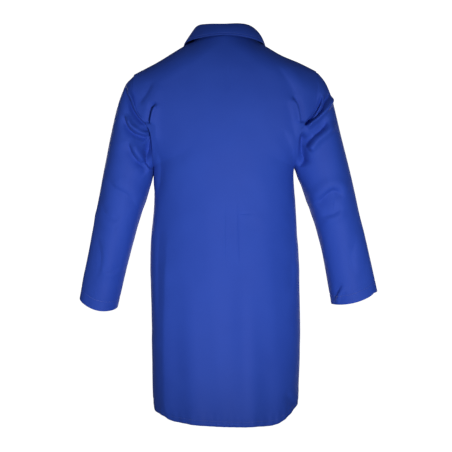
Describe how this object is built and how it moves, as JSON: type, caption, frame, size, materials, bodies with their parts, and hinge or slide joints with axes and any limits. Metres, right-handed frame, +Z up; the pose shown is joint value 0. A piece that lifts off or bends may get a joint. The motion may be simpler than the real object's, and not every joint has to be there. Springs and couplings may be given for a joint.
{
  "type": "lab coat",
  "caption": "Knee-length long-sleeved work coat with turned-down collar, lapels, overlapping snap front, patch pockets and plain hemmed sleeves.",
  "frame": {"origin": "middle of the neck opening at the height of the nape seam, where the neck and shoulders of a wearer, dummy or hanger carry the coat", "axes": "+Z up, -Y out of the coat's front, +X towards the wearer's left"},
  "size_m": [0.7799, 0.2942, 1.0045],
  "materials": {
    "cloth_outside": "royal blue polyester and cotton twill, matt with a soft sheen",
    "cloth_inside": "the same twill seen from inside, a little duller",
    "loop_tape": "woven cord",
    "label_tape": "blank white satin tape",
    "snap_metal": "satin nickel"
  },
  "bodies": {
    "coat_body": {"back_panel": "cloth_outside", "back_neck_facing": "cloth_inside", "back_hem": "cloth_inside", "chest_left": "cloth_outside", "chest_right": "cloth_outside", "front_side_left": "cloth_outside", "front_side_right": "cloth_outside", "lapel_left": "cloth_outside", "lapel_right": "cloth_outside", "collar_leaf": "cloth_outside", "collar_stand": "cloth_inside", "neck_label": "label_tape", "care_label": "label_tape"},
    "left_front": {"front_left": "cloth_outside", "facing_left": "cloth_inside", "front_hem_left": "cloth_inside", "chest_pocket": "cloth_outside", "pocket_left": "cloth_outside", "snap_cap_1": "snap_metal", "snap_cap_2": "snap_metal", "snap_cap_3": "snap_metal", "snap_cap_4": "snap_metal", "snap_socket_1": "snap_metal", "snap_socket_2": "snap_metal", "snap_socket_3": "snap_metal", "snap_socket_4": "snap_metal"},
    "right_front": {"front_right": "cloth_outside", "facing_right": "cloth_inside", "front_hem_right": "cloth_inside", "pocket_right": "cloth_outside", "snap_stud_1": "snap_metal", "snap_stud_2": "snap_metal", "snap_stud_3": "snap_metal", "snap_stud_4": "snap_metal", "snap_post_1": "snap_metal", "snap_post_2": "snap_metal", "snap_post_3": "snap_metal", "snap_post_4": "snap_metal"},
    "left_sleeve": {"sleeve_left": "cloth_outside", "sleeve_hem_left": "cloth_inside"},
    "right_sleeve": {"sleeve_right": "cloth_outside", "sleeve_hem_right": "cloth_inside"},
    "loop": {"hanging_loop": "loop_tape"}
  },
  "joints": [
    {"name": "left_front_open", "type": "hinge", "parent": "coat_body", "child": "left_front", "pos_m": [0.166, -0.07, -0.65], "axis": [0, 0, 1], "range_deg": [0, 85]},
    {"name": "right_front_open", "type": "hinge", "parent": "coat_body", "child": "right_front", "pos_m": [-0.166, -0.07, -0.65], "axis": [0, 0, -1], "range_deg": [0, 63.75]},
    {"name": "left_sleeve_raise", "type": "hinge", "parent": "coat_body", "child": "left_sleeve", "pos_m": [0.237, 0, -0.093], "axis": [0, -1, 0], "range_deg": [0, 75]},
    {"name": "right_sleeve_raise", "type": "hinge", "parent": "coat_body", "child": "right_sleeve", "pos_m": [-0.237, 0, -0.093], "axis": [0, 1, 0], "range_deg": [0, 75]},
    {"name": "loop_flip", "type": "hinge", "parent": "coat_body", "child": "loop", "pos_m": [0, 0.0465, -0.009], "axis": [-1, 0, 0], "range_deg": [0, 150]}
  ],
  "couplings": [
    {"joint": "right_front_open", "follows": "left_front_open", "ratio": 0.75}
  ]
}
